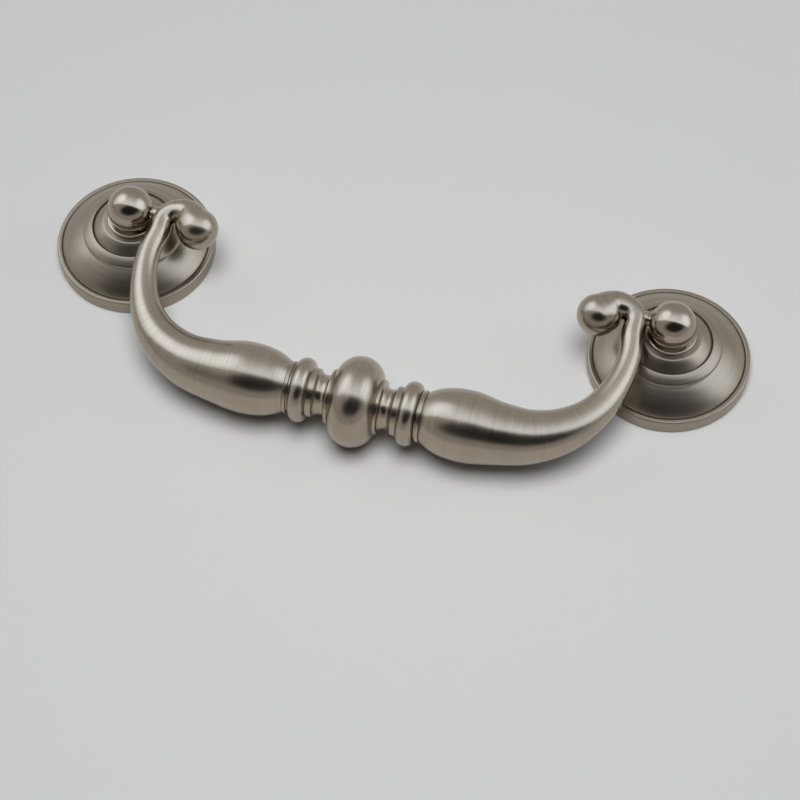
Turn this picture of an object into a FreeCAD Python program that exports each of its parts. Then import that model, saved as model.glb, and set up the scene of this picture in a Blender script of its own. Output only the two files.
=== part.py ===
"""Drop pull for a drawer: two stepped rosettes, two ball-headed posts and a cast bail that swings between them.

Frame: the origin lies midway between the two screw holes on the mounting plane, X runs along the pivot axis,
the bail hangs towards -Y and +Z points out of the drawer front. All lengths are in millimetres.
"""

import FreeCAD
import Part
import Sketcher
import math
import os

V = FreeCAD.Vector

# Driving dimensions, each written once.
SIZES = {
    # mounting
    "hole_spacing": 96.0,
    "screw_bore_r": 1.65,
    "screw_depth": 7.6,
    "pivot_height": 11.75,
    # rosette: rim, groove, skirt, lower dome, step ring, upper dome, lip
    "rosette_r": 13.9,
    "rim_height": 2.75,
    "rim_round": 0.3,
    "rim_width": 0.75,
    "groove_width": 0.2,
    "groove_depth": 0.3,
    "step_r": 8.85,
    "skirt_top": 2.85,
    "skirt_draft": 0.05,
    "dome_top": 6.1,
    "dome_crown": 0.5,
    "step_height": 0.4,
    "step_width": 1.7,
    "step_rise": 0.55,
    "seat_depth": 0.15,
    "upper_crown": 0.3,
    "lip_r": 5.1,
    "lip_height": 8.75,
    "relief_depth": 1.2,
    "relief_inset": 2.2,
    "relief_land": 2.6,
    # post: shank, collar, ball
    "shank_r": 3.1,
    "shank_clear": 0.1,
    "collar_r": 4.3,
    "collar_height": 0.65,
    "collar_round": 0.3,
    "ball_r": 4.0,
    # pin and its cross hole
    "pin_r": 1.0,
    "pin_clear": 0.08,
    "pin_reach": 0.2,
    "pin_end_gap": 0.3,
    "pin_chamfer": 0.25,
    "pin_boss_r": 1.4,
    "boss_gap": 0.45,
    # turned centre of the bail
    "drop": 26.1,
    "bulb_r": 7.75,
    "bulb_half": 4.0,
    "ring_r": 4.65,
    "ring_end": 4.5,
    "cove_r": 3.35,
    "cove_edge_r": 3.95,
    "collet_start": 6.75,
    "collet_end": 7.75,
    "collet_r": 4.15,
    "bead_r": 5.5,
    "bead_base_r": 4.3,
    "bead_width": 3.1,
    "band_r": 4.45,
    "band_gap_r": 4.0,
    "band_gap": 0.3,
    "band_width": 0.55,
    # arms: radii of the round section, from the root at the centre to the neck by the pivot
    "root_gap": 0.05,
    "root_r": 4.15,
    "shoulder_run": 1.4,
    "shoulder_r": 4.95,
    "swell_run": 7.4,
    "swell_r": 6.1,
    "bend_start": 24.4,
    "run_r": 5.3,
    "bend_fullness": 2.15,
    "bend_a_r": 4.55,
    "bend_b_r": 3.75,
    "bend_c_r": 2.85,
    "bend_d_r": 2.3,
    "bow_r": 2.0,
    "bow_out": 0.75,
    "bow_drop": 6.4,
    "neck_r": 2.0,
    "neck_gap": 0.55,
    "neck_drop": 3.6,
    # crook and its teardrop knob
    "crook_r": 1.88,
    "crook_corner_r": 1.95,
    "crook_top_r": 2.1,
    "crook_over_r": 2.35,
    "crook_out_r": 2.6,
    "crook_bend": 2.15,
    "crook_corner_bend": 2.3,
    "crook_top_bend": 2.5,
    "crook_over_bend": 2.65,
    "crook_out_bend": 2.8,
    "crook_drop": 1.28,
    "knob_root": 0.4,
    "knob_reach": 2.98,
    "knob_r": 3.7,
}

doc = FreeCAD.newDocument("drop_pull")
sheet = doc.addObject("Spreadsheet::Sheet", "Sizes")
for row, (name, number) in enumerate(SIZES.items(), start=1):
    sheet.set(f"A{row}", name)
    sheet.set(f"B{row}", str(number))
    sheet.setAlias(f"B{row}", name)
doc.recompute()


class Size:
    """A length with its number and the expression that gives it."""

    def __init__(self, number, text):
        self.number = float(number)
        self.text = text

    @staticmethod
    def of(other):
        return other if isinstance(other, Size) else Size(other, repr(float(other)))

    def __add__(self, other):
        other = Size.of(other)
        return Size(self.number + other.number, f"({self.text} + {other.text})")

    def __sub__(self, other):
        other = Size.of(other)
        return Size(self.number - other.number, f"({self.text} - {other.text})")

    def __mul__(self, other):
        other = Size.of(other)
        return Size(self.number * other.number, f"({self.text} * {other.text})")

    def __truediv__(self, other):
        other = Size.of(other)
        return Size(self.number / other.number, f"({self.text} / {other.text})")

    def root(self):
        return Size(math.sqrt(self.number), f"sqrt({self.text})")


def size(name):
    """The size of that name in the sheet."""
    return Size(sheet.get(name), f"Sizes.{name}")


def number(name):
    """The plain number of that name in the sheet."""
    return float(sheet.get(name))


ZERO = Size(0.0, "0")


def plane_of(body, role):
    """The body's own origin plane or axis of that role."""
    return next(item for item in body.Origin.OriginFeatures if item.Role == role)


def new_body(label):
    body = doc.addObject("PartDesign::Body", label)
    body.Label = label
    return body


def new_sketch(body, name, role):
    sketch = body.newObject("Sketcher::SketchObject", name)
    sketch.AttachmentSupport = [(plane_of(body, role), "")]
    sketch.MapMode = "FlatFace"
    return sketch


def bind(sketch, kind, where, length):
    """Adds a dimension to a sketch and ties it to the sheet."""
    index = sketch.addConstraint(Sketcher.Constraint(kind, *where, length.number))
    sketch.setExpression(f"Constraints[{index}]", length.text)


def pin_point(sketch, edge, end, across, along):
    """Fixes one end of an edge at its place from the sketch origin."""
    if across.number == 0.0:
        sketch.addConstraint(Sketcher.Constraint("PointOnObject", edge, end, -2))
    else:
        bind(sketch, "DistanceX", (-1, 1, edge, end), across)
    if along.number == 0.0:
        sketch.addConstraint(Sketcher.Constraint("PointOnObject", edge, end, -1))
    else:
        bind(sketch, "DistanceY", (-1, 1, edge, end), along)


def draw_profile(sketch, corners):
    """Draws a closed profile.

    Each corner is (across, along, crown). The crown is the height of the arc that leads to the next corner, to
    the left of the way there where it is positive and to the right where it is negative; None gives a line.
    """
    count = len(corners)
    ends = []
    for index, (across, along, crown) in enumerate(corners):
        far_across, far_along, _ = corners[(index + 1) % count]
        start = V(across.number, along.number, 0)
        stop = V(far_across.number, far_along.number, 0)
        if crown is None:
            edge = sketch.addGeometry(Part.LineSegment(start, stop), False)
            ends.append((edge, 1, 2, None))
            continue
        tall, side = crown
        wide = far_across - across
        high = far_along - along
        radius = (wide * wide + high * high) / (tall * 8.0) + tall / 2.0
        left = V(-high.number, wide.number, 0).normalize()
        middle = (start + stop) * 0.5 + left * (side * (tall.number - radius.number))
        forward = side < 0
        near, far = (start, stop) if forward else (stop, start)
        low = math.atan2(near.y - middle.y, near.x - middle.x)
        high_end = math.atan2(far.y - middle.y, far.x - middle.x)
        circle = Part.Circle(middle, V(0, 0, 1), radius.number)
        edge = sketch.addGeometry(Part.ArcOfCircle(circle, low, high_end), False)
        ends.append((edge, 1 if forward else 2, 2 if forward else 1, radius))
    for index, (edge, first, last, radius) in enumerate(ends):
        following = ends[(index + 1) % count]
        sketch.addConstraint(Sketcher.Constraint("Coincident", edge, last, following[0], following[1]))
    for index, (edge, first, last, radius) in enumerate(ends):
        pin_point(sketch, edge, first, corners[index][0], corners[index][1])
    for edge, first, last, radius in ends:
        if radius is not None:
            bind(sketch, "Radius", (edge,), radius)


def revolve(body, name, sketch, axis):
    turned = body.newObject("PartDesign::Revolution", name)
    turned.Profile = sketch
    turned.ReferenceAxis = (sketch, [axis])
    turned.Angle = 360.0
    return turned


def line(across, along):
    """A corner that a straight edge leaves."""
    return across, along, None


def arc_left(across, along, crown):
    """A corner that an arc leaves, bowed to the left of its way."""
    return across, along, (crown, 1)


def arc_right(across, along, crown):
    """A corner that an arc leaves, bowed to the right of its way."""
    return across, along, (crown, -1)


# An eighth of a turn in degrees, and the rise of a quarter circle over its chord.
EIGHTH = math.degrees(math.pi / 4)
QUARTER = 1.0 - math.sqrt(0.5)


# Rosettes
def make_rosette(label, side):
    body = new_body(label)
    outer = size("rosette_r")
    rim_top = size("rim_height")
    rim_round = size("rim_round")
    rim_in = outer - size("rim_width")
    groove_in = rim_in - size("groove_width")
    groove_floor = rim_top - size("groove_depth")
    step_r = size("step_r")
    dome_top = size("dome_top")
    step_top = dome_top + size("step_height")
    ring_in = step_r - size("step_width")
    ring_top = step_top + size("step_rise")
    lip_r = size("lip_r")
    lip_top = size("lip_height")
    bore = size("shank_r") + size("shank_clear")
    relief_in = bore + size("relief_land")
    relief_out = outer - size("relief_inset")
    relief_top = size("relief_depth")
    sketch = new_sketch(body, f"{label}_section", "XZ_Plane")
    draw_profile(sketch, [
        line(relief_out, ZERO),
        line(outer, ZERO),
        arc_right(outer, rim_top - rim_round, rim_round * QUARTER),
        line(outer - rim_round, rim_top),
        line(rim_in, rim_top),
        line(groove_in, groove_floor),
        arc_right(groove_in - size("skirt_draft"), size("skirt_top"), size("dome_crown")),
        line(step_r, dome_top),
        arc_right(step_r, step_top, size("step_rise") / 3.0),
        line(ring_in, ring_top),
        arc_right(ring_in, ring_top - size("seat_depth"), size("upper_crown")),
        line(lip_r, lip_top),
        line(bore, lip_top),
        line(bore, ZERO),
        line(relief_in, ZERO),
        line(relief_in, relief_top),
        line(relief_out, relief_top),
    ])
    revolve(body, f"{label}_turned", sketch, "V_Axis")
    body.setExpression("Placement.Base.x", f"{side} * Sizes.hole_spacing / 2")
    return body


# Posts: the cross hole opens towards the middle of the pull
def make_post(label, side):
    body = new_body(label)
    shank = size("shank_r")
    collar = size("collar_r")
    collar_base = size("lip_height")
    collar_top = collar_base + size("collar_height")
    rounding = size("collar_round")
    height = size("pivot_height")
    ball = size("ball_r")
    fall = height - collar_top
    neck = (ball * ball - fall * fall).root()
    rise = fall + ball
    ball_crown = ball - (ball * ball - (neck * neck + rise * rise) / 4.0).root()
    sketch = new_sketch(body, f"{label}_section", "XZ_Plane")
    draw_profile(sketch, [
        line(ZERO, ZERO),
        line(shank, ZERO),
        line(shank, collar_base),
        line(collar, collar_base),
        arc_right(collar, collar_top - rounding, rounding * QUARTER),
        line(collar - rounding, collar_top),
        arc_right(neck, collar_top, ball_crown),
        line(ZERO, height + ball),
    ])
    turned = revolve(body, f"{label}_turned", sketch, "V_Axis")
    doc.recompute()
    solid = turned.Shape.Volume
    # tapped hole for the mounting screw, from the back
    screw = new_sketch(body, f"{label}_screw", "XY_Plane")
    screw.addGeometry(Part.Circle(V(0, 0, 0), V(0, 0, 1), number("screw_bore_r")), False)
    screw.addConstraint(Sketcher.Constraint("Coincident", 0, 3, -1, 1))
    bind(screw, "Radius", (0,), size("screw_bore_r"))
    tapped = body.newObject("PartDesign::Pocket", f"{label}_tapped")
    tapped.Profile = screw
    tapped.Reversed = True
    tapped.setExpression("Length", "Sizes.screw_depth")
    doc.recompute()
    # blind cross hole for the pin
    bore = size("pin_r") + size("pin_clear")
    cross = new_sketch(body, f"{label}_cross", "YZ_Plane")
    cross.addGeometry(Part.Circle(V(0, height.number, 0), V(0, 0, 1), bore.number), False)
    cross.addConstraint(Sketcher.Constraint("PointOnObject", 0, 3, -2))
    bind(cross, "DistanceY", (-1, 1, 0, 3), height)
    bind(cross, "Radius", (0,), bore)
    cross.setExpression("AttachmentOffset.Base.z", "Sizes.pin_end_gap - Sizes.pin_reach")
    bored = body.newObject("PartDesign::Pocket", f"{label}_bored")
    bored.Profile = cross
    bored.setExpression("Length", "Sizes.ball_r * 2")
    doc.recompute()
    if solid - tapped.Shape.Volume < 3.0 * number("screw_bore_r") ** 2 * number("screw_depth"):
        raise RuntimeError(f"{label}: the screw hole cuts nothing")
    if tapped.Shape.Volume - bored.Shape.Volume < 3.0 * bore.number ** 2:
        raise RuntimeError(f"{label}: the cross hole cuts nothing")
    body.setExpression("Placement.Base.x", f"{side} * Sizes.hole_spacing / 2")
    body.setExpression("Placement.Rotation.Angle", "0" if side > 0 else "180")
    return body


# Bail
def section(body, name, along, drop, turn, radius):
    """A round section of the bail at a place in its plane, facing the way that the arm runs there."""
    sketch = new_sketch(body, name, "YZ_Plane")
    sketch.AttachmentOffset = FreeCAD.Placement(V(-drop, 0, along), FreeCAD.Rotation(V(0, 1, 0), turn))
    sketch.addGeometry(Part.Circle(V(0, 0, 0), V(0, 0, 1), radius.number), False)
    sketch.addConstraint(Sketcher.Constraint("Coincident", 0, 3, -1, 1))
    bind(sketch, "Radius", (0,), radius)
    return sketch


def loft(body, name, sections):
    skin = body.newObject("PartDesign::AdditiveLoft", name)
    skin.Profile = sections[0]
    skin.Sections = sections[1:]
    skin.Ruled = False
    skin.Closed = False
    return skin


def make_bail(label):
    body = new_body(label)
    drop = number("drop")

    # turned centre, one half from the middle outwards
    bulb_half = size("bulb_half")
    bulb_r = size("bulb_r")
    ring_end = size("ring_end")
    ring_r = size("ring_r")
    cove_r = size("cove_r")
    cove_edge = size("cove_edge_r")
    collet_start = size("collet_start")
    collet_end = size("collet_end")
    collet_r = size("collet_r")
    bead_end = collet_end + size("bead_width")
    bead_base = size("bead_base_r")
    gap_end = bead_end + size("band_gap")
    band_end = gap_end + size("band_width")
    root = band_end + size("root_gap")
    stub_end = root + size("shoulder_run")
    turning = new_sketch(body, "centre_section", "XY_Plane")
    turning.AttachmentOffset = FreeCAD.Placement(V(0, -drop, 0), FreeCAD.Rotation())
    turning.setExpression("AttachmentOffset.Base.y", "-Sizes.drop")
    half_round = bulb_half * QUARTER
    draw_profile(turning, [
        line(ZERO, ZERO),
        arc_left(ZERO, bulb_r, half_round),
        line(bulb_half, bulb_r - bulb_half),
        line(bulb_half, ring_r),
        line(ring_end, ring_r),
        arc_right(ring_end, cove_edge, cove_edge - cove_r),
        line(collet_start, cove_edge),
        line(collet_start, collet_r),
        line(collet_end, collet_r),
        arc_left(collet_end, bead_base, size("bead_r") - bead_base),
        line(bead_end, bead_base),
        line(bead_end, size("band_gap_r")),
        line(gap_end, size("band_gap_r")),
        line(gap_end, size("band_r")),
        line(band_end, size("band_r")),
        line(band_end, cove_r),
        line(stub_end, cove_r),
        line(stub_end, ZERO),
    ])
    doc.recompute()
    centre = revolve(body, "centre", turning, "H_Axis")

    # arm: round sections along a straight run and a full bend up to the neck
    half_spacing = size("hole_spacing") / 2.0
    crook_r = size("crook_r")
    neck = half_spacing - size("ball_r") - size("neck_gap") - crook_r
    neck_along = neck.number
    bow_along = neck_along + number("bow_out")
    bow_drop = number("bow_drop")
    bend_start = number("bend_start")
    wide = bow_along - bend_start
    tall = drop - bow_drop
    power = 2.0 / number("bend_fullness")
    start = root.number - number("root_gap") * 2
    sections = [
        section(body, "arm_root", start, drop, 0.0, size("root_r")),
        section(body, "arm_shoulder", start + number("shoulder_run"), drop, 0.0, size("shoulder_r")),
        section(body, "arm_swell", start + number("swell_run"), drop, 0.0, size("swell_r")),
        section(body, "arm_run", bend_start, drop, 0.0, size("run_r")),
    ]
    for name, share in (("a", 0.82), ("b", 0.62), ("c", 0.41), ("d", 0.2)):
        lean = share * math.pi / 2
        along = bend_start + wide * math.cos(lean) ** power
        low = bow_drop + tall * math.sin(lean) ** power
        # direction of the bend's outline at that place, upwards
        slope_along = wide * power * math.cos(lean) ** (power - 1) * math.sin(lean)
        slope_low = tall * power * math.sin(lean) ** (power - 1) * math.cos(lean)
        turn = math.degrees(math.atan2(slope_low, slope_along))
        sections.append(section(body, f"arm_bend_{name}", along, low, turn, size(f"bend_{name}_r")))
    sections.append(section(body, "arm_bow", bow_along, bow_drop, 2 * EIGHTH, size("bow_r")))

    # crook: the arm leans in at its neck, winds outwards up and over towards the middle and swells into the knob
    centre_along = neck_along - number("crook_bend")
    centre_drop = number("crook_drop")

    def on_crook(angle, name):
        lean = math.radians(angle)
        bend = number(name)
        return centre_along + bend * math.cos(lean), centre_drop - bend * math.sin(lean)

    neck_lean = 2 * EIGHTH + math.degrees(math.atan2(bow_along - neck_along, bow_drop - centre_drop))
    leave_along, leave_drop = on_crook(3 * EIGHTH, "crook_out_bend")
    sections += [
        section(body, "crook_neck", (bow_along + neck_along) / 2, number("neck_drop"), neck_lean, size("neck_r")),
        section(body, "crook_side", *on_crook(0.0, "crook_bend"), neck_lean, crook_r),
        section(body, "crook_corner", *on_crook(EIGHTH, "crook_corner_bend"), 3 * EIGHTH, size("crook_corner_r")),
        section(body, "crook_top", *on_crook(2 * EIGHTH, "crook_top_bend"), 4 * EIGHTH, size("crook_top_r")),
        section(body, "crook_over", *on_crook(2.5 * EIGHTH, "crook_over_bend"), 4.5 * EIGHTH, size("crook_over_r")),
        section(body, "crook_out", leave_along, leave_drop, 5 * EIGHTH, size("crook_out_r")),
    ]
    arm = loft(body, "arm", sections)

    # knob: a teardrop turned about the line that leaves the crook
    reach = size("knob_reach")
    out_r = size("crook_out_r")
    knob_r = size("knob_r")
    swell = knob_r - out_r
    chord = reach * reach + swell * swell
    flank = chord / (swell * 2.0)
    flank_crown = flank - (flank * flank - chord / 4.0).root()
    root_in = size("knob_root")
    teardrop = new_sketch(body, "knob_section", "XY_Plane")
    back = root_in.number * math.sqrt(0.5)
    teardrop.AttachmentOffset = FreeCAD.Placement(
        V(leave_along + back, back - leave_drop, 0), FreeCAD.Rotation(V(0, 0, 1), 5 * EIGHTH))
    draw_profile(teardrop, [
        line(ZERO, ZERO),
        line(ZERO, out_r - root_in),
        line(root_in, out_r - root_in),
        arc_left(root_in, out_r, flank_crown),
        arc_left(root_in + reach, knob_r, knob_r * QUARTER),
        line(root_in + reach + knob_r, ZERO),
    ])
    knob = revolve(body, "knob", teardrop, "H_Axis")

    # shoulder and pin, out towards the post
    ball = size("ball_r")
    boss = size("pin_boss_r")
    boss_end = half_spacing - (ball * ball - boss * boss).root() - size("boss_gap")
    pin_end = half_spacing - size("pin_reach")
    chamfer = size("pin_chamfer")
    pin_sketch = new_sketch(body, "pin_section", "XY_Plane")
    draw_profile(pin_sketch, [
        line(neck, ZERO),
        line(neck, boss),
        line(boss_end, boss),
        line(boss_end, size("pin_r")),
        line(pin_end - chamfer, size("pin_r")),
        line(pin_end, size("pin_r") - chamfer),
        line(pin_end, ZERO),
    ])
    pin = revolve(body, "pin", pin_sketch, "H_Axis")
    doc.recompute()

    # the other half
    both = body.newObject("PartDesign::Mirrored", "both_halves")
    both.TransformMode = "Whole shape"
    both.MirrorPlane = (plane_of(body, "YZ_Plane"), [""])
    body.Tip = both
    doc.recompute()

    # at rest the bulb lies on the mounting plane
    body.Placement = FreeCAD.Placement(V(0, 0, 0), FreeCAD.Rotation(V(1, 0, 0), 1.0))
    body.setExpression("Placement.Base.z", "Sizes.pivot_height")
    body.setExpression("Placement.Rotation.Angle", "asin((Sizes.pivot_height - Sizes.bulb_r) / Sizes.drop)")
    return body


bodies = [
    make_rosette("left_rosette", -1),
    make_rosette("right_rosette", 1),
    make_post("left_post", -1),
    make_post("right_post", 1),
    make_bail("bail"),
]
doc.recompute()

# Every object has to be sound before anything is written.
for item in doc.Objects:
    if "Invalid" in item.State or "Error" in item.State:
        raise RuntimeError(f"{item.Name} failed: {item.State}")
for body in bodies:
    shape = body.Shape
    if shape.isNull() or not shape.isValid() or len(shape.Solids) != 1:
        raise RuntimeError(f"{body.Label} is not one sound solid")

os.makedirs("parts", exist_ok=True)
for body in bodies:
    body.Shape.exportStep(f"parts/{body.Label}.step")
    box = body.Shape.optimalBoundingBox()
    print(body.Label, round(body.Shape.Volume, 1), [round(c, 2) for c in (
        box.XMin, box.YMin, box.ZMin, box.XMax, box.YMax, box.ZMax)], len(body.Shape.Faces), "faces")
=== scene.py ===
"""Dresses the drop pull: satin nickel rosettes, ball-headed posts and the cast bail, on a pale table."""

import logging
import math
from dataclasses import dataclass
from enum import Enum
from typing import Any, Callable, Sequence

import bpy
import numpy as np
from mathutils import Matrix, Vector


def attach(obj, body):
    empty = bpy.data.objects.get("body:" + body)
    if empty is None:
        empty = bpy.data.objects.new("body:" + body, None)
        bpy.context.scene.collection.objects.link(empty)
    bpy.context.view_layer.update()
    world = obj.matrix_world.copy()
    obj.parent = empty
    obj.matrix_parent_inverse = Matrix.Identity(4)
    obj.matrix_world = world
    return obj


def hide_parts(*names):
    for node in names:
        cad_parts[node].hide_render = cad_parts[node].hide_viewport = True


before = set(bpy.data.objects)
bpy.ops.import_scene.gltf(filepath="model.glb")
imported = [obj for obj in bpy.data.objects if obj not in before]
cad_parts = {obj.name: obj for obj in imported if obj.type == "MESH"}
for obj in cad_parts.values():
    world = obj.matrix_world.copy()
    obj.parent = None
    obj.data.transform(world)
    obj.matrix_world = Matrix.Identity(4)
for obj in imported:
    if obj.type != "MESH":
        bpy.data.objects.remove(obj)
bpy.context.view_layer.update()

log = logging.getLogger("drop_pull")

MM = 0.001
WELD = 1e-6
EDGE_SHARE = 0.48
UP = Vector((0, 0, 1))
ALONG = Vector((1, 0, 0))

Point = tuple[float, float]
Corner = tuple[float, float, float]
Colour = tuple[float, float, float, float]


class Side(Enum):
    """The two ends of the pull, by the sign of their place along X."""

    LEFT = -1
    RIGHT = 1


class Grain(Enum):
    """How the satin brushing runs over a piece."""

    ROUND_POST = "rings about the post"
    ROUND_ARM = "rings about the arm"


# Shader building


class Wire:
    """A shader socket that Python's operators can be used on."""

    def __init__(self, board: "Board", socket: Any) -> None:
        """Keeps the socket and the board that it is on."""
        self.board = board
        self.socket = socket

    def _math(self, operation: str, *values: Any) -> "Wire":
        """Adds a Math node for an operation on values."""
        return self.board.node("ShaderNodeMath", {"operation": operation}, dict(enumerate(values)))

    def __add__(self, other: Any) -> "Wire":
        """Sum."""
        return self._math("ADD", self, other)

    def __radd__(self, other: Any) -> "Wire":
        """Sum with a number in front."""
        return self._math("ADD", other, self)

    def __sub__(self, other: Any) -> "Wire":
        """Difference."""
        return self._math("SUBTRACT", self, other)

    def __rsub__(self, other: Any) -> "Wire":
        """Difference from a number."""
        return self._math("SUBTRACT", other, self)

    def __mul__(self, other: Any) -> "Wire":
        """Product."""
        return self._math("MULTIPLY", self, other)

    def __rmul__(self, other: Any) -> "Wire":
        """Product with a number in front."""
        return self._math("MULTIPLY", other, self)

    def __truediv__(self, other: Any) -> "Wire":
        """Quotient."""
        return self._math("DIVIDE", self, other)

    def __rtruediv__(self, other: Any) -> "Wire":
        """Quotient of a number."""
        return self._math("DIVIDE", other, self)

    def root(self) -> "Wire":
        """Square root."""
        return self._math("SQRT", self)

    def most(self, other: Any, soft: float) -> "Wire":
        """The larger of two values, with a soft change over."""
        return self._math("SMOOTH_MAX", self, other, soft)

    def clamp(self) -> "Wire":
        """Keeps the value between 0 and 1."""
        return self.board.node("ShaderNodeClamp", {}, {"Value": self})

    def between(self, low: float, high: float) -> "Wire":
        """A smooth step from 0 at low to 1 at high."""
        ends = {"Value": self, "From Min": low, "From Max": high}
        return self.board.node("ShaderNodeMapRange", {"interpolation_type": "SMOOTHSTEP"}, ends)


class Board:
    """A material's node tree."""

    def __init__(self, name: str) -> None:
        """Makes an empty material with its Principled shader and output.

        Args:
            name: The material's name.
        """
        self.material = bpy.data.materials.new(name)
        self.material.use_nodes = True
        self.tree = self.material.node_tree
        self.tree.nodes.clear()
        output = self.tree.nodes.new("ShaderNodeOutputMaterial")
        self.shader = self.tree.nodes.new("ShaderNodeBsdfPrincipled")
        self.tree.links.new(self.shader.outputs["BSDF"], output.inputs["Surface"])

    @classmethod
    def of_world(cls, name: str) -> "Board":
        """Makes a world and takes its background as the shader.

        Args:
            name: The world's name.

        Returns:
            The world's node tree.
        """
        board = cls.__new__(cls)
        world = bpy.data.worlds.new(name)
        world.use_nodes = True
        board.tree = world.node_tree
        board.shader = board.tree.nodes["Background"]
        bpy.context.scene.world = world
        return board

    def node(self, kind: str, settings: dict[str, Any], sockets: dict[Any, Any], out: Any = 0) -> Wire:
        """Adds any node.

        Args:
            kind: The node's type.
            settings: Properties, set first.
            sockets: Values or wires, by the input's name or number.
            out: The output's name or number.

        Returns:
            The chosen output as a wire.
        """
        made = self.tree.nodes.new(kind)
        for key, value in settings.items():
            setattr(made, key, value)
        for key, value in sockets.items():
            self.plug(made.inputs[key], value)
        return Wire(self, made.outputs[out])

    def plug(self, socket: Any, value: Any) -> None:
        """Links a wire to an input or sets the input's value.

        Args:
            socket: The input.
            value: A wire, or a plain value.
        """
        if isinstance(value, Wire):
            self.tree.links.new(value.socket, socket)
        else:
            socket.default_value = value

    def dress(self, **values: Any) -> None:
        """Sets the shader's own inputs, named with _ for each space."""
        for name, value in values.items():
            self.plug(self.shader.inputs[name.replace("_", " ")], value)

    def place(self, origin: Sequence[float]) -> Wire:
        """Object coordinates in millimetres, counted from a point in metres."""
        sockets = {"Location": [-c / MM for c in origin], "Scale": (1 / MM, 1 / MM, 1 / MM)}
        spot = self.node("ShaderNodeTexCoord", {}, {}, "Object")
        return self.node("ShaderNodeMapping", {"vector_type": "POINT"}, {"Vector": spot, **sockets})

    def split(self, vector: Wire) -> tuple[Wire, Wire, Wire]:
        """Takes a vector apart.

        Args:
            vector: The vector.

        Returns:
            Its three parts.
        """
        made = self.tree.nodes.new("ShaderNodeSeparateXYZ")
        self.plug(made.inputs[0], vector)
        return tuple(Wire(self, out) for out in made.outputs)

    def join(self, across: Any, along: Any, up: Any) -> Wire:
        """A vector from its three parts."""
        return self.node("ShaderNodeCombineXYZ", {}, {0: across, 1: along, 2: up})

    def noise(self, vector: Wire, scale: float, detail: float = 2.0, rough: float = 0.5) -> Wire:
        """Noise from 0 to 1."""
        sockets = {"Vector": vector, "Scale": scale, "Detail": detail, "Roughness": rough}
        return self.node("ShaderNodeTexNoise", {"noise_dimensions": "3D"}, sockets, "Fac")

    def blend(self, share: Any, first: Any, second: Any) -> Wire:
        """A colour between two colours."""
        return self.node("ShaderNodeMix", {"data_type": "RGBA"}, {0: share, 6: first, 7: second}, 2)


@dataclass(frozen=True)
class SatinNickel:
    """Satin nickel plate with fine brushing, whose lines are counted to the millimetre."""

    name: str
    grain: Grain
    tint: Colour = (0.48, 0.418, 0.336, 1.0)
    shade: Colour = (0.33, 0.28, 0.216, 1.0)
    roughness: float = 0.23
    spread: float = 0.08
    scratch: float = 0.07
    scratch_depth: float = 0.00002
    centre: tuple[float, float, float] = (0.0, 0.0, 0.0)
    climb: float = 0.7
    lines: float = 5.0
    fine_rough: float = 0.6
    coarse_lines: float = 0.35
    coarse_share: float = 0.35
    stretch: float = 0.1
    cloud_scale: float = 0.16
    cloud_rough: float = 0.05
    cloud_gain: float = 0.4
    streak_gain: float = 1.2
    shade_cut: float = 0.3

    def build(self) -> bpy.types.Material:
        """Makes the plate's material.

        Returns:
            The material, with its brushing laid the way that the grain says.
        """
        board = Board(self.name)
        spot = board.place(self.centre)
        across, along, up = board.split(spot)
        if self.grain is Grain.ROUND_POST:
            run = (across * across + along * along).root() + up * self.climb
        else:
            run = board.node("ShaderNodeAttribute", {"attribute_name": "run"}, {}, "Fac")
        aside, aslant = across * self.stretch, along * self.stretch + up * self.stretch
        fine = board.noise(board.join(run * self.lines, aside, aslant), 1.0, rough=self.fine_rough)
        coarse = board.noise(board.join(run * (self.lines * self.coarse_lines), aside, aslant), 1.0)
        cloud = board.noise(spot, self.cloud_scale)
        streak = fine * (1 - self.coarse_share) + coarse * self.coarse_share
        share = (streak * self.streak_gain + cloud * self.cloud_gain - self.shade_cut).clamp()
        uneven = (streak - 0.5) * (2 * self.spread) + (cloud - 0.5) * self.cloud_rough
        ridges = {"Strength": self.scratch, "Distance": self.scratch_depth, "Height": streak}
        board.dress(
            Base_Color=board.blend(share, self.shade, self.tint),
            Metallic=1.0,
            Roughness=uneven + self.roughness,
            Normal=board.node("ShaderNodeBump", {}, ridges),
        )
        return board.material


@dataclass(frozen=True)
class TableTop:
    """The pale matt table that the pull lies on."""

    name: str = "pale_table"
    tone: Colour = (0.74, 0.74, 0.74, 1.0)
    roughness: float = 0.75
    shine: float = 0.15

    def build(self) -> bpy.types.Material:
        """Makes the table's material.

        Returns:
            The material.
        """
        board = Board(self.name)
        board.dress(Base_Color=self.tone, Roughness=self.roughness, Specular_IOR_Level=self.shine)
        return board.material


# Modelling helpers


def rest() -> None:
    """Leaves edit mode and deselects everything."""
    if bpy.context.object and bpy.context.object.mode != "OBJECT":
        bpy.ops.object.mode_set(mode="OBJECT")
    bpy.ops.object.select_all(action="DESELECT")


def pick(pieces: Sequence[bpy.types.Object]) -> None:
    """Selects only these pieces and makes the first one active.

    Args:
        pieces: The pieces.
    """
    rest()
    for piece in pieces:
        piece.select_set(True)
    bpy.context.view_layer.objects.active = pieces[0]


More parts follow.
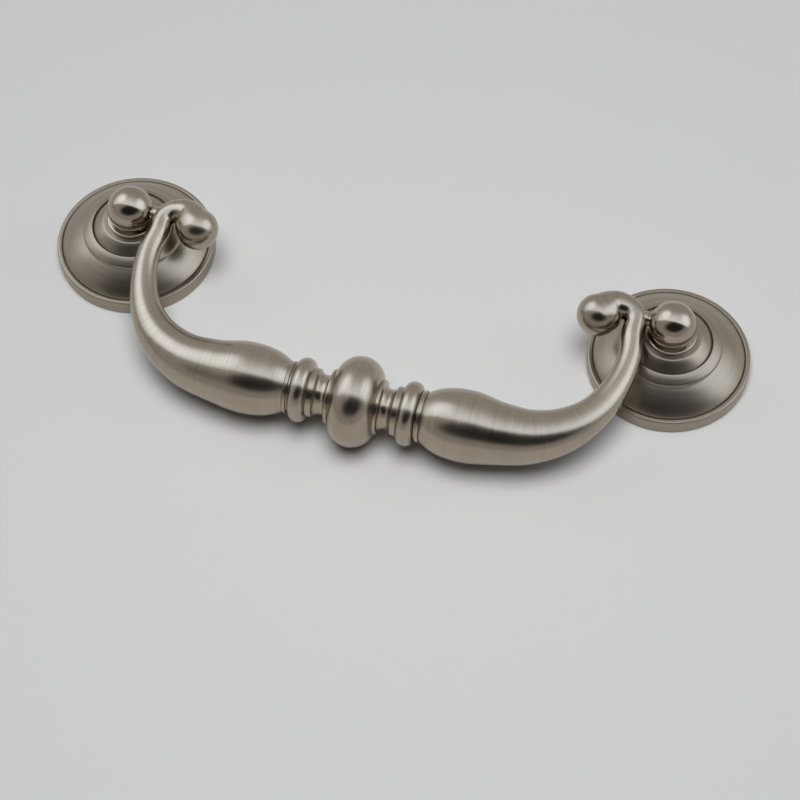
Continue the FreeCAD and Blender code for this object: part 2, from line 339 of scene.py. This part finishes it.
def arc(start: Point, stop: Point, crown: float, steps: int) -> list[Point]:
    """Points of an arc between two points.

    Args:
        start: First point.
        stop: Last point.
        crown: Height of the arc over its chord, positive to the left of the way.
        steps: Number of stretches.

    Returns:
        The points after the first.
    """
    a, b = np.array(start), np.array(stop)
    way = b - a
    left = np.array([-way[1], way[0]]) / np.hypot(*way)
    radius = (way @ way) / (8 * abs(crown)) + abs(crown) / 2
    middle = (a + b) / 2 + left * math.copysign(1.0, crown) * (abs(crown) - radius)
    first = math.atan2(*(a - middle)[::-1])
    last = math.atan2(*(b - middle)[::-1])
    turn = (last - first) % (2 * math.pi)
    if crown > 0:
        turn -= 2 * math.pi
    angles = [first + turn * i / steps for i in range(1, steps + 1)]
    return [(middle[0] + radius * math.cos(t), middle[1] + radius * math.sin(t)) for t in angles]


def sharp(points: Sequence[Point]) -> list[Corner]:
    """Corners that aren't rounded."""
    return [(x, y, 0.0) for x, y in points]


def soften(corners: Sequence[Corner], steps: int = 4) -> list[Point]:
    """Rounds the corners of a profile.

    Args:
        corners: (across, along, rounding) of each corner.
        steps: Number of stretches of each rounding.

    Returns:
        The profile's points.
    """
    points: list[Point] = []
    for index, (x, y, rounding) in enumerate(corners):
        if rounding == 0 or index in (0, len(corners) - 1):
            points.append((x, y))
            continue
        here = np.array((x, y))
        back = np.array(corners[index - 1][:2]) - here
        on = np.array(corners[index + 1][:2]) - here
        a = here + back / np.hypot(*back) * min(rounding, np.hypot(*back) * EDGE_SHARE)
        b = here + on / np.hypot(*on) * min(rounding, np.hypot(*on) * EDGE_SHARE)
        for i in range(steps + 1):
            t = i / steps
            p = (1 - t) ** 2 * a + 2 * t * (1 - t) * here + t * t * b
            points.append((float(p[0]), float(p[1])))
    return points


def smooth_through(places: np.ndarray, values: np.ndarray, wanted: np.ndarray) -> np.ndarray:
    """A smooth curve through values.

    Args:
        places: Where the values are, rising.
        values: The values there.
        wanted: Where the curve is read.

    Returns:
        The curve's values.
    """
    gap = np.diff(places)
    slope = np.diff(values) / gap
    tangent = np.empty_like(values)
    tangent[1:-1] = (slope[:-1] * gap[1:] + slope[1:] * gap[:-1]) / (gap[:-1] + gap[1:])
    tangent[0], tangent[-1] = slope[0], slope[-1]
    index = np.clip(np.searchsorted(places, wanted, side="right") - 1, 0, len(gap) - 1)
    t = (wanted - places[index]) / gap[index]
    a, b = values[index], values[index + 1]
    ta, tb = tangent[index] * gap[index], tangent[index + 1] * gap[index]
    start, stop = (2 * t ** 3 - 3 * t ** 2 + 1) * a, (3 * t ** 2 - 2 * t ** 3) * b
    return start + (t ** 3 - 2 * t ** 2 + t) * ta + stop + (t ** 3 - t ** 2) * tb


def turn_profile(
    name: str, points: Sequence[Vector], centre: Vector, axis: Vector, steps: int
) -> bpy.types.Object:
    """Draws a profile by extruding a corner along it, and spins it about an axis.

    Args:
        name: The piece's name.
        points: The profile's corners in metres.
        centre: A point on the axis.
        axis: The axis.
        steps: Number of steps round.

    Returns:
        The closed piece.
    """
    rest()
    bpy.ops.mesh.primitive_plane_add(size=MM, location=points[0])
    piece = bpy.context.object
    piece.name = name
    bpy.ops.object.transform_apply(location=True, rotation=True, scale=True)
    bpy.ops.object.mode_set(mode="EDIT")
    bpy.ops.mesh.select_all(action="SELECT")
    bpy.ops.mesh.merge(type="CENTER")
    for here, there in zip(points, points[1:]):
        bpy.ops.mesh.extrude_region_move(TRANSFORM_OT_translate={"value": there - here})
    bpy.ops.mesh.select_all(action="SELECT")
    bpy.ops.mesh.spin(steps=steps, angle=2 * math.pi, center=centre, axis=axis)
    bpy.ops.mesh.select_all(action="SELECT")
    bpy.ops.mesh.remove_doubles(threshold=WELD)
    bpy.ops.mesh.normals_make_consistent(inside=False)
    bpy.ops.object.mode_set(mode="OBJECT")
    return piece


def combine(piece: bpy.types.Object, other: bpy.types.Object, operation: str) -> None:
    """Cuts another closed form out of a piece, or joins it on with no faces left inside.

    Args:
        piece: The piece that stays.
        other: The form, which is used up.
        operation: The boolean operation's name.
    """
    pick([piece])
    step = piece.modifiers.new("combined", "BOOLEAN")
    step.operation = operation
    step.solver = "EXACT"
    step.use_self = operation == "UNION"
    step.object = other
    bpy.ops.object.modifier_apply(modifier=step.name)
    bpy.data.objects.remove(other)


def finish_piece(
    piece: bpy.types.Object, plate: SatinNickel, body: str, crease: float = 35.0
) -> None:
    """Shades a piece smooth, plates it and ties it to its body.

    Args:
        piece: The piece.
        plate: Its finish.
        body: The body that it rides on.
        crease: Degrees past which an edge stays sharp.
    """
    pick([piece])
    bpy.ops.object.shade_smooth_by_angle(angle=math.radians(crease))
    piece.data.materials.clear()
    piece.data.materials.append(plate.build())
    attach(piece, body)


def set_run(piece: bpy.types.Object, law: Callable[[np.ndarray], np.ndarray]) -> None:
    """Writes the attribute that the brushing follows.

    Args:
        piece: The piece.
        law: Gives millimetres along the piece for places in metres.
    """
    mesh = piece.data
    spots = np.empty(len(mesh.vertices) * 3, np.float32)
    mesh.vertices.foreach_get("co", spots)
    values = law(spots.reshape(-1, 3).astype(float)).astype(np.float32)
    mesh.attributes.new("run", "FLOAT", "POINT").data.foreach_set("value", values)


# The pull's pieces, in millimetres


@dataclass
class Pivot:
    """Where the bail turns, shared by the posts and the bail."""

    half_spacing: float = 48.0
    height: float = 11.75
    ball_r: float = 4.0
    pin_r: float = 1.0
    pin_clear: float = 0.08
    pin_reach: float = 0.2
    pin_end_gap: float = 0.3

    def foot(self, side: Side) -> Vector:
        """The middle of one rosette's back, in metres."""
        return Vector((side.value * self.half_spacing * MM, 0, 0))


@dataclass
class Rosette:
    """A stepped, domed backplate."""

    side: Side
    pivot: Pivot
    outer_r: float = 13.895
    foot_round: float = 0.15
    rim_height: float = 2.75
    rim_round: float = 0.3
    rim_steps: int = 6
    rim_in: float = 13.15
    rim_edge: float = 0.08
    groove_r: float = 12.95
    groove_floor: float = 2.45
    groove_round: float = 0.06
    skirt_r: float = 12.9
    skirt_top: float = 2.85
    skirt_round: float = 0.25
    dome_top: float = 6.1
    dome_crown: float = 0.2
    dome_steps: int = 14
    dome_edge: float = 0.08
    step_r: float = 8.85
    step_top: float = 6.44
    step_round: float = 0.42
    ring_in: float = 7.15
    ring_top: float = 7.46
    ring_crown: float = 0.07
    ring_steps: int = 8
    ring_taken: int = 3
    ring_round: float = 0.18
    seat_top: float = 6.98
    seat_round: float = 0.05
    upper_crown: float = 0.1
    upper_steps: int = 10
    lip_r: float = 5.1
    lip_height: float = 8.75
    lip_round: float = 0.2
    bore_r: float = 3.2
    relief_in: float = 5.8
    relief_out: float = 11.7
    relief_top: float = 1.2
    relief_edge: float = 0.1
    relief_round: float = 0.2
    turned_steps: int = 160
    # These plate colours are darker than the bail's and the posts': in part painted shade, standing in for
    # the shadowed table that the rims reflect.
    tint: Colour = (0.41, 0.354, 0.281, 1.0)
    shade: Colour = (0.28, 0.237, 0.183, 1.0)

    def outline(self) -> list[Point]:
        """Draws the half section.

        Returns:
            Its points, from the bore's foot round to the bore's top.
        """
        wall_top = self.rim_height - self.rim_round
        rim_crown = self.rim_round * (1 - math.sqrt(0.5))
        rim_end = (self.outer_r - self.rim_round, self.rim_height)
        rim = arc((self.outer_r, wall_top), rim_end, -rim_crown, self.rim_steps)
        dome_end, ring_end = (self.step_r, self.dome_top), (self.ring_in, self.ring_top)
        dome = arc((self.skirt_r, self.skirt_top), dome_end, -self.dome_crown, self.dome_steps)
        ring = arc((self.step_r, self.step_top), ring_end, -self.ring_crown, self.ring_steps)
        lip = (self.lip_r, self.lip_height)
        upper = arc((self.ring_in, self.seat_top), lip, -self.upper_crown, self.upper_steps)
        return soften([
            (self.bore_r, 0.0, 0.0),
            (self.relief_in, 0.0, self.relief_edge),
            (self.relief_in, self.relief_top, self.relief_round),
            (self.relief_out, self.relief_top, self.relief_round),
            (self.relief_out, 0.0, self.relief_edge),
            (self.outer_r, 0.0, self.foot_round),
            (self.outer_r, wall_top, 0.0),
            *sharp(rim),
            (self.rim_in, self.rim_height, self.rim_edge),
            (self.groove_r, self.groove_floor, self.groove_round),
            (self.skirt_r, self.skirt_top, self.skirt_round),
            *sharp(dome[1:-1]),
            (*dome_end, self.dome_edge),
            (self.step_r, self.step_top, self.step_round),
            *sharp(ring[self.ring_taken:-1]),
            (*ring_end, self.ring_round),
            (self.ring_in, self.seat_top, self.seat_round),
            *sharp(upper[:-1]),
            (*lip, self.lip_round),
            (self.bore_r, self.lip_height, 0.0),
        ])

    def build(self) -> bpy.types.Object:
        """Turns the rosette.

        Returns:
            The finished piece.
        """
        foot = self.pivot.foot(self.side)
        points = [foot + Vector((x * MM, 0, y * MM)) for x, y in self.outline()]
        points.append(points[0].copy())
        word = self.side.name.lower()
        piece = turn_profile(f"{word}_rosette_plate", points, foot, UP, self.turned_steps)
        plate = SatinNickel(
            f"{word}_rosette_satin", Grain.ROUND_POST, self.tint, self.shade, centre=tuple(foot),
            roughness=0.33, spread=0.07, scratch=0.08, lines=4.0,
        )
        finish_piece(piece, plate, "fixed_side")
        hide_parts(f"{word}_rosette")
        return piece


@dataclass
class Post:
    """A post with a collar and a ball head that the bail's pin turns in."""

    side: Side
    pivot: Pivot
    shank_r: float = 3.1
    foot_round: float = 0.15
    collar_r: float = 4.3
    collar_base: float = 8.75
    collar_top: float = 9.4
    collar_edge: float = 0.1
    collar_round: float = 0.3
    ball_foot: float = 0.12
    ball_steps: int = 28
    screw_r: float = 1.65
    screw_depth: float = 7.6
    turned_steps: int = 96
    drill_past: float = 2.0
    drill_sides: int = 48

    def outline(self) -> list[Point]:
        """Draws the half section.

        Returns:
            Its points, from the screw hole's end round to the ball's top.
        """
        ball, height = self.pivot.ball_r, self.pivot.height
        fall = height - self.collar_top
        seat = math.sqrt(ball ** 2 - fall ** 2)
        low = math.atan2(-fall, seat)
        angles = [low + (math.pi / 2 - low) * i / self.ball_steps for i in range(1, self.ball_steps + 1)]
        return soften([
            (0.0, self.screw_depth, 0.0),
            (self.screw_r, self.screw_depth, 0.0),
            (self.screw_r, 0.0, self.foot_round),
            (self.shank_r, 0.0, self.foot_round),
            (self.shank_r, self.collar_base, 0.0),
            (self.collar_r, self.collar_base, self.collar_edge),
            (self.collar_r, self.collar_top, self.collar_round),
            (seat, self.collar_top, self.ball_foot),
            *sharp([(ball * math.cos(t), height + ball * math.sin(t)) for t in angles]),
        ])

    def build(self) -> bpy.types.Object:
        """Turns the post and bores its cross hole.

        Returns:
            The finished piece.
        """
        foot = self.pivot.foot(self.side)
        points = [foot + Vector((x * MM, 0, y * MM)) for x, y in self.outline()]
        word = self.side.name.lower()
        piece = turn_profile(f"{word}_ball_post", points, foot, UP, self.turned_steps)
        reach = self.pivot.pin_reach - self.pivot.pin_end_gap
        length = self.pivot.ball_r + reach + self.drill_past
        middle = self.pivot.half_spacing - reach - length / 2
        rest()
        bpy.ops.mesh.primitive_cylinder_add(
            vertices=self.drill_sides, radius=(self.pivot.pin_r + self.pivot.pin_clear) * MM,
            depth=length * MM, rotation=(0, math.pi / 2, 0),
            location=(self.side.value * middle * MM, 0, self.pivot.height * MM),
        )
        combine(piece, bpy.context.object, "DIFFERENCE")
        plate = SatinNickel(
            f"{word}_post_satin", Grain.ROUND_POST, centre=tuple(foot),
            roughness=0.15, spread=0.03, scratch=0.02, lines=4.0,
        )
        finish_piece(piece, plate, "fixed_side")
        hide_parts(f"{word}_post")
        return piece


@dataclass
class Bail:
    """The swinging handle: a turned centre and two swelling arms that end in crooks with knobs.

    Each row of bend gives an angle round the bend and a radius. Each row of crook gives how far back from
    the neck and how far below the pivot axis it is, and a radius.
    """

    pivot: Pivot
    drop: float = 26.1
    bulb_r: float = 7.75
    bulb_half: float = 4.0
    bulb_steps: int = 22
    bulb_taken: int = 3
    ring_lap: float = 0.02
    ring_r: float = 4.65
    ring_end: float = 4.5
    ring_foot: float = 0.1
    ring_round: float = 0.2
    cove_edge: float = 3.95
    cove_r: float = 3.35
    cove_steps: int = 10
    collet_start: float = 6.75
    collet_end: float = 7.75
    collet_r: float = 4.15
    collet_round: float = 0.15
    groove_round: float = 0.08
    bead_r: float = 5.5
    bead_base: float = 4.3
    bead_foot: float = 0.05
    bead_width: float = 3.1
    bead_steps: int = 16
    band_gap: float = 0.3
    band_gap_r: float = 4.0
    band_r: float = 4.45
    band_width: float = 0.55
    band_round: float = 0.12
    turned_steps: int = 128
    root_lap: float = 0.05
    root_r: float = 4.15
    shoulder_run: float = 1.4
    shoulder_r: float = 4.95
    swell_run: float = 7.4
    swell_r: float = 6.1
    bend_start: float = 24.4
    run_r: float = 5.3
    fullness: float = 2.15
    bend: tuple[Point, ...] = ((73.8, 4.55), (55.8, 3.75), (36.9, 2.85), (18.0, 2.3))
    bow_r: float = 2.0
    bow_out: float = 0.75
    bow_drop: float = 6.4
    neck_r: float = 2.0
    neck_gap: float = 0.55
    neck_drop: float = 3.6
    crook: tuple[Corner, ...] = (
        (0.0, 0.0, 1.95), (1.0, -1.06, 2.08), (2.3, -1.4, 2.3), (3.22, -1.4, 2.52),
        (4.1, -0.85, 2.95), (5.1, 0.2, 3.4), (6.05, 1.05, 3.65),
    )
    knob_steps: int = 16
    arm_sides: int = 64
    arm_gap: float = 0.45
    arm_offset: float = 20.0
    boss_r: float = 1.4
    boss_gap: float = 0.45
    boss_round: float = 0.15
    pin_chamfer: float = 0.25
    pin_steps: int = 48

    @property
    def tilt(self) -> float:
        """How far the bail leans below level, with its bulb on the table."""
        return math.asin((self.pivot.height - self.bulb_r) / self.drop)

    @property
    def neck_along(self) -> float:
        """Where the neck's centre is along the pivot axis, so that the crook clears the ball."""
        return self.pivot.half_spacing - self.pivot.ball_r - self.neck_gap - self.crook[0][2]

    def spot(self, along: float, drop: float, off: float = 0.0) -> Vector:
        """A place in the bail, in metres.

        Args:
            along: Place along the pivot axis.
            drop: Distance below the pivot axis, in the bail's plane.
            off: Distance out of that plane.

        Returns:
            The place in the part's frame.
        """
        c, s = math.cos(self.tilt), math.sin(self.tilt)
        return Vector((along, -drop * c - off * s, self.pivot.height - drop * s + off * c)) * MM

    def centre_outline(self) -> list[Point]:
        """Draws the turned centre's half section.

        Returns:
            Its points, from the left arm's root to the right arm's.
        """
        bead_end = self.collet_end + self.bead_width
        gap_end = bead_end + self.band_gap
        band_end = gap_end + self.band_width
        core_end = band_end + self.shoulder_run
        bulb_end = (self.bulb_half, self.bulb_r - self.bulb_half)
        bulb_crown = self.bulb_half * (1 - math.sqrt(0.5))
        bulb = arc((0.0, self.bulb_r), bulb_end, bulb_crown, self.bulb_steps)
        cove_start, cove_end = (self.ring_end, self.cove_edge), (self.collet_start, self.cove_edge)
        cove = arc(cove_start, cove_end, self.cove_r - self.cove_edge, self.cove_steps)
        bead_start, bead_stop = (self.collet_end, self.bead_base), (bead_end, self.bead_base)
        bead = arc(bead_start, bead_stop, self.bead_r - self.bead_base, self.bead_steps)
        right = soften([
            (0.0, self.bulb_r, 0.0),
            *sharp(bulb[:-self.bulb_taken]),
            (self.bulb_half - self.ring_lap, self.ring_r, self.ring_foot),
            (self.ring_end, self.ring_r, self.ring_round),
            (*cove_start, self.ring_foot),
            *sharp(cove[:-1]),
            (*cove_end, self.groove_round),
            (self.collet_start, self.collet_r, self.collet_round),
            (self.collet_end, self.collet_r, self.groove_round),
            (*bead_start, self.bead_foot),
            *sharp(bead[:-1]),
            (*bead_stop, self.bead_foot),
            (bead_end, self.band_gap_r, self.groove_round),
            (gap_end, self.band_gap_r, self.groove_round),
            (gap_end, self.band_r, self.band_round),
            (band_end, self.band_r, self.band_round),
            (band_end, self.cove_r, 0.0),
            (core_end, self.cove_r, 0.0),
            (core_end, 0.0, 0.0),
        ])
        return [(-x, y) for x, y in reversed(right)][:-1] + right

    def stations(self) -> np.ndarray:
        """Places and radii along one arm, from its root to its knob.

        Returns:
            Rows of along, drop and radius.
        """
        root = self.collet_end + self.bead_width + self.band_gap + self.band_width - self.root_lap
        neck = self.neck_along
        bow = neck + self.bow_out
        wide, tall, power = bow - self.bend_start, self.drop - self.bow_drop, 2.0 / self.fullness
        rows = [
            (root, self.drop, self.root_r),
            (root + self.shoulder_run, self.drop, self.shoulder_r),
            (root + self.swell_run, self.drop, self.swell_r),
            (self.bend_start, self.drop, self.run_r),
        ]
        for angle, radius in self.bend:
            lean = math.radians(angle)
            out, down = wide * math.cos(lean) ** power, tall * math.sin(lean) ** power
            rows.append((self.bend_start + out, self.bow_drop + down, radius))
        rows.append((bow, self.bow_drop, self.bow_r))
        rows.append(((bow + neck) / 2, self.neck_drop, self.neck_r))
        rows += [(neck - back, low, radius) for back, low, radius in self.crook]
        return np.array(rows)

    def path(self) -> np.ndarray:
        """Evenly spaced places and radii along one arm, with the knob's round end.

        Returns:
            Rows of along, drop and radius.
        """
        rows = self.stations()
        length = np.r_[0, np.cumsum(np.hypot(np.diff(rows[:, 0]), np.diff(rows[:, 1])))]
        even = np.linspace(0, length[-1], int(length[-1] / self.arm_gap))
        smooth = np.column_stack([smooth_through(length, rows[:, i], even) for i in range(3)])
        (along, low, radius), way = smooth[-1], smooth[-1, :2] - smooth[-2, :2]
        inward, down = way / np.hypot(*way)
        cap = []
        for t in np.linspace(0, math.pi / 2, self.knob_steps)[1:]:
            reach = radius * math.sin(t)
            cap.append((along + reach * inward, low + reach * down, radius * max(math.cos(t), 0.0)))
        return np.vstack([smooth, cap])

    @staticmethod
    def directions(rows: np.ndarray) -> np.ndarray:
        """The way that the arm runs at each of its places."""
        way = np.gradient(rows[:, :2], axis=0)
        return way / np.linalg.norm(way, axis=1)[:, None]

    def arm(self, side: Side) -> bpy.types.Object:
        """Sweeps one arm: a ring is extruded along it, and turned and sized at each place.

        Args:
            side: The arm's side.

        Returns:
            The closed arm.
        """
        rows = self.path()
        way = self.directions(rows)
        rest()
        bpy.ops.mesh.primitive_circle_add(vertices=self.arm_sides, radius=MM, fill_type="NOTHING")
        piece = bpy.context.object
        piece.name = f"{side.name.lower()}_arm"
        bpy.ops.object.mode_set(mode="EDIT")
        bpy.ops.mesh.select_all(action="SELECT")
        for _ in range(len(rows) - 1):
            bpy.ops.mesh.extrude_region_move(TRANSFORM_OT_translate={"value": (0, 0, MM)})
        bpy.ops.object.mode_set(mode="OBJECT")
        spots = np.empty(len(piece.data.vertices) * 3, np.float32)
        piece.data.vertices.foreach_get("co", spots)
        spots = spots.reshape(-1, 3)
        level = np.rint(spots[:, 2] / MM).astype(int)
        turn = np.arctan2(spots[:, 1], spots[:, 0])
        for index, (k, t) in enumerate(zip(level, turn)):
            along, low, radius = rows[k]
            out, off = math.cos(t) * radius, math.sin(t) * radius
            spots[index] = self.spot((along - way[k, 1] * out) * side.value, low + way[k, 0] * out, off)
        piece.data.vertices.foreach_set("co", spots.ravel())
        bpy.ops.object.mode_set(mode="EDIT")
        bpy.ops.mesh.select_all(action="SELECT")
        bpy.ops.mesh.remove_doubles(threshold=2 * WELD)
        bpy.ops.mesh.select_all(action="DESELECT")
        bpy.ops.mesh.select_non_manifold()
        bpy.ops.mesh.edge_face_add()
        bpy.ops.mesh.select_all(action="SELECT")
        bpy.ops.mesh.normals_make_consistent(inside=False)
        bpy.ops.object.mode_set(mode="OBJECT")
        return piece

    def pin(self, side: Side) -> bpy.types.Object:
        """Turns the shoulder and pin at one end of the pivot axis.

        Args:
            side: The pin's side.

        Returns:
            The closed pin.
        """
        neck, radius = self.neck_along, self.pivot.pin_r
        sink = math.sqrt(self.pivot.ball_r ** 2 - self.boss_r ** 2)
        boss_end = self.pivot.half_spacing - sink - self.boss_gap
        end = self.pivot.half_spacing - self.pivot.pin_reach
        outline = soften([
            (neck, 0.0, 0.0),
            (neck, self.boss_r, 0.0),
            (boss_end, self.boss_r, self.boss_round),
            (boss_end, radius, 0.0),
            (end - self.pin_chamfer, radius, 0.0),
            (end, radius - self.pin_chamfer, 0.0),
            (end, 0.0, 0.0),
        ])
        centre = self.spot(0.0, 0.0)
        points = [centre + Vector((side.value * x * MM, 0, r * MM)) for x, r in outline]
        return turn_profile(f"{side.name.lower()}_pin", points, centre, ALONG, self.pin_steps)

    def brush_run(self, spots: np.ndarray) -> np.ndarray:
        """How far along the bail places lie: along the turned centre, then along the arm's own curve.

        Args:
            spots: Places in metres.

        Returns:
            Distances in millimetres.
        """
        c, s = math.cos(self.tilt), math.sin(self.tilt)
        rows = self.path()
        steps = np.diff(rows[:, :2], axis=0, prepend=rows[:1, :2])
        run = np.cumsum(np.hypot(steps[:, 0], steps[:, 1]))
        way = self.directions(rows)
        along = np.abs(spots[:, 0]) / MM
        drop = -(spots[:, 1] * c / MM + (spots[:, 2] / MM - self.pivot.height) * s)
        near = np.hypot(along[:, None] - rows[:, 0], drop[:, None] - rows[:, 1]).argmin(axis=1)
        lead = (along - rows[near, 0]) * way[near, 0] + (drop - rows[near, 1]) * way[near, 1]
        return np.where(along < rows[0, 0], spots[:, 0] / MM, run[near] + lead + self.arm_offset)

    def build(self) -> bpy.types.Object:
        """Builds the whole bail as one casting.

        Returns:
            The finished piece.
        """
        centre = self.spot(0.0, self.drop)
        points = [centre + Vector((x * MM, 0, r * MM)) for x, r in self.centre_outline()]
        piece = turn_profile("bail_casting", points, centre, ALONG, self.turned_steps)
        ends = [make(side) for side in Side for make in (self.arm, self.pin)]
        pick(ends)
        bpy.ops.object.join()
        combine(piece, ends[0], "UNION")
        set_run(piece, self.brush_run)
        finish_piece(piece, SatinNickel("bail_satin", Grain.ROUND_ARM), "bail")
        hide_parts("bail")
        return piece


# The studio


def way_to(turn: float, slant: float) -> Vector:
    """The direction that is turned so many degrees from +X and slants so many down from overhead."""
    t, u = math.radians(turn), math.radians(slant)
    return Vector((math.sin(u) * math.cos(t), math.sin(u) * math.sin(t), math.cos(u)))


@dataclass(frozen=True)
class Lamp:
    """A light that faces the pull, as degrees round from +X and down from overhead, and metres away."""

    name: str
    turn: float
    slant: float
    distance: float

    def hang(self, kind: str) -> bpy.types.Object:
        """Adds the light, unseen in reflections.

        Args:
            kind: Blender's type of light.

        Returns:
            The light.
        """
        rest()
        bpy.ops.object.light_add(type=kind, location=way_to(self.turn, self.slant) * self.distance)
        lamp = bpy.context.object
        lamp.name = self.name
        lamp.rotation_euler = (0.0, math.radians(self.slant), math.radians(self.turn))
        lamp.visible_glossy = False
        return lamp


@dataclass(frozen=True)
class Softbox(Lamp):
    """A square soft light: metres from side to side, and how bright its face is."""

    width: float
    level: float

    def build(self) -> None:
        """Hangs the softbox."""
        lamp = self.hang("AREA")
        lamp.data.shape = "SQUARE"
        lamp.data.size = self.width
        lamp.data.energy = self.level * self.width * self.width * math.pi


@dataclass(frozen=True)
class Overhead(Lamp):
    """Even, soft light from far away: degrees across, and watts a square metre."""

    spread: float
    level: float

    def build(self) -> None:
        """Hangs the light."""
        lamp = self.hang("SUN")
        lamp.data.angle = math.radians(self.spread)
        lamp.data.energy = self.level


@dataclass(frozen=True)
class Lobe:
    """A round soft patch of the surround, in degrees, with its brightness."""

    turn: float
    slant: float
    edge: float
    core: float
    level: float


@dataclass(frozen=True)
class Surround:
    """What the metal reflects: a bright arch overhead with two lobes, a grey room and a dark patch."""

    arch_way: tuple[float, float, float] = (0.0, 0.95, 0.31)
    arch_level: float = 1.1
    arch_full: float = 0.05
    arch_end: float = 1.0
    arch_low: float = 0.05
    arch_high: float = 0.45
    arch_seam: float = 0.012
    lobes: tuple[Lobe, ...] = (Lobe(166.0, 41.0, 34.0, 2.0, 1.5), Lobe(12.0, 56.0, 38.0, 2.0, 1.35))
    lobe_soft: float = 0.3
    wall_level: float = 0.42
    room_level: float = 0.42
    dark_level: float = 0.02
    dark_turn: float = 291.0
    dark_slant: float = 45.0
    dark_tall: float = 0.5
    dark_wide: float = 0.85
    dark_core: float = 0.4
    dark_edge: float = 1.15
    dark_fade: float = 0.3
    dim: float = 0.3
    bright: float = 1.3
    warm: Colour = (1.0, 0.99, 0.97, 1.0)
    white: Colour = (0.9, 0.99, 1.13, 1.0)

    def build(self) -> None:
        """Makes the world, which only reflections and the camera see."""
        board = Board.of_world("studio")
        parts = board.split(board.node("ShaderNodeTexCoord", {}, {}, "Generated"))

        def toward(way: Vector) -> Wire:
            """How far the surround lies in a direction, from -1 to 1."""
            return parts[0] * way.x + parts[1] * way.y + parts[2] * way.z

        depth = toward(Vector(self.arch_way))
        rise = parts[2].between(self.arch_low, self.arch_high)
        lit = (1.0 - depth.between(self.arch_full, self.arch_end)) * rise * self.arch_level
        for lobe in self.lobes:
            edge, core = math.cos(math.radians(lobe.edge)), math.cos(math.radians(lobe.core))
            patch = toward(way_to(lobe.turn, lobe.slant)).between(edge, core)
            lit = lit.most(patch * lobe.level, self.lobe_soft)
        middle = way_to(self.dark_turn, self.dark_slant)
        aside = way_to(self.dark_turn + 90.0, 90.0)
        over, wide = toward(middle.cross(aside)) / self.dark_tall, toward(aside) / self.dark_wide
        inside = 1.0 - (over * over + wide * wide).between(self.dark_core, self.dark_edge)
        dark = inside * toward(middle).between(0.0, self.dark_fade)
        room = self.room_level - dark * (self.room_level - self.dark_level)
        level = room + (lit + self.wall_level - room) * depth.between(-self.arch_seam, self.arch_seam)
        tone = board.blend(level.between(self.dim, self.bright), self.warm, self.white)
        board.dress(Strength=level, Color=tone)
        bpy.context.scene.world.cycles_visibility.diffuse = False


@dataclass(frozen=True)
class View:
    """The camera at the photograph's angle.

    It stands so many degrees above the table, round from the front and rolled about its view, and metres from
    its target. The focal length is in pixels of a frame of that width.
    """

    elevation: float = 57.47
    azimuth: float = 16.83
    roll: float = -1.75
    target: tuple[float, float, float] = (0.00556, -0.01885, 0.0)
    distance: float = 0.40877
    focal: float = 2400.0
    frame_width: float = 800.0
    sensor: float = 36.0
    near: float = 0.01
    far: float = 60.0

    def build(self) -> None:
        """Sets the camera."""
        e, a, r = (math.radians(v) for v in (self.elevation, self.azimuth, self.roll))
        back = Vector((math.sin(a) * math.cos(e), -math.cos(a) * math.cos(e), math.sin(e)))
        right = Vector((math.cos(a), math.sin(a), 0.0))
        up = back.cross(right)
        right, up = right * math.cos(r) + up * math.sin(r), up * math.cos(r) - right * math.sin(r)
        rest()
        bpy.ops.object.camera_add(location=Vector(self.target) + back * self.distance)
        eye = bpy.context.object
        eye.rotation_euler = Matrix((right, up, back)).transposed().to_euler()
        eye.data.sensor_width = self.sensor
        eye.data.lens = self.focal / self.frame_width * self.sensor
        eye.data.clip_start = self.near
        eye.data.clip_end = self.far
        bpy.context.scene.camera = eye


@dataclass
class Studio:
    """Table, lights, surround and camera."""

    table_size: float = 40.0
    table_drop: float = 0.00005
    lamps: tuple[Overhead | Softbox, ...] = (
        Overhead("overhead_light", 285.0, 10.0, 1.0, spread=34.0, level=1.1),
        Softbox("top_softbox", 285.0, 10.0, 0.38, width=0.22, level=3.9),
        Softbox("left_softbox", 160.0, 45.0, 0.8, width=0.5, level=0.6),
        Softbox("right_softbox", 20.0, 52.0, 0.8, width=0.6, level=0.5),
    )

    def table(self) -> None:
        """Lays the pale table under the pull."""
        rest()
        bpy.ops.mesh.primitive_plane_add(size=self.table_size, location=(0, 0, -self.table_drop))
        top = bpy.context.object
        top.name = "table"
        top.data.materials.append(TableTop().build())

    def build(self) -> None:
        """Sets up the whole studio."""
        self.table()
        for lamp in self.lamps:
            lamp.build()
        Surround().build()
        View().build()
        bpy.context.scene.view_settings.view_transform = "Standard"


def main() -> None:
    """Builds every piece and the studio."""
    logging.basicConfig(level=logging.INFO)
    pivot = Pivot()
    pieces = [kind(side, pivot).build() for side in Side for kind in (Rosette, Post)]
    pieces.append(Bail(pivot).build())
    for piece in pieces:
        log.info("%s: %d faces", piece.name, len(piece.data.polygons))
    Studio().build()


if __name__ == "__main__":
    main()
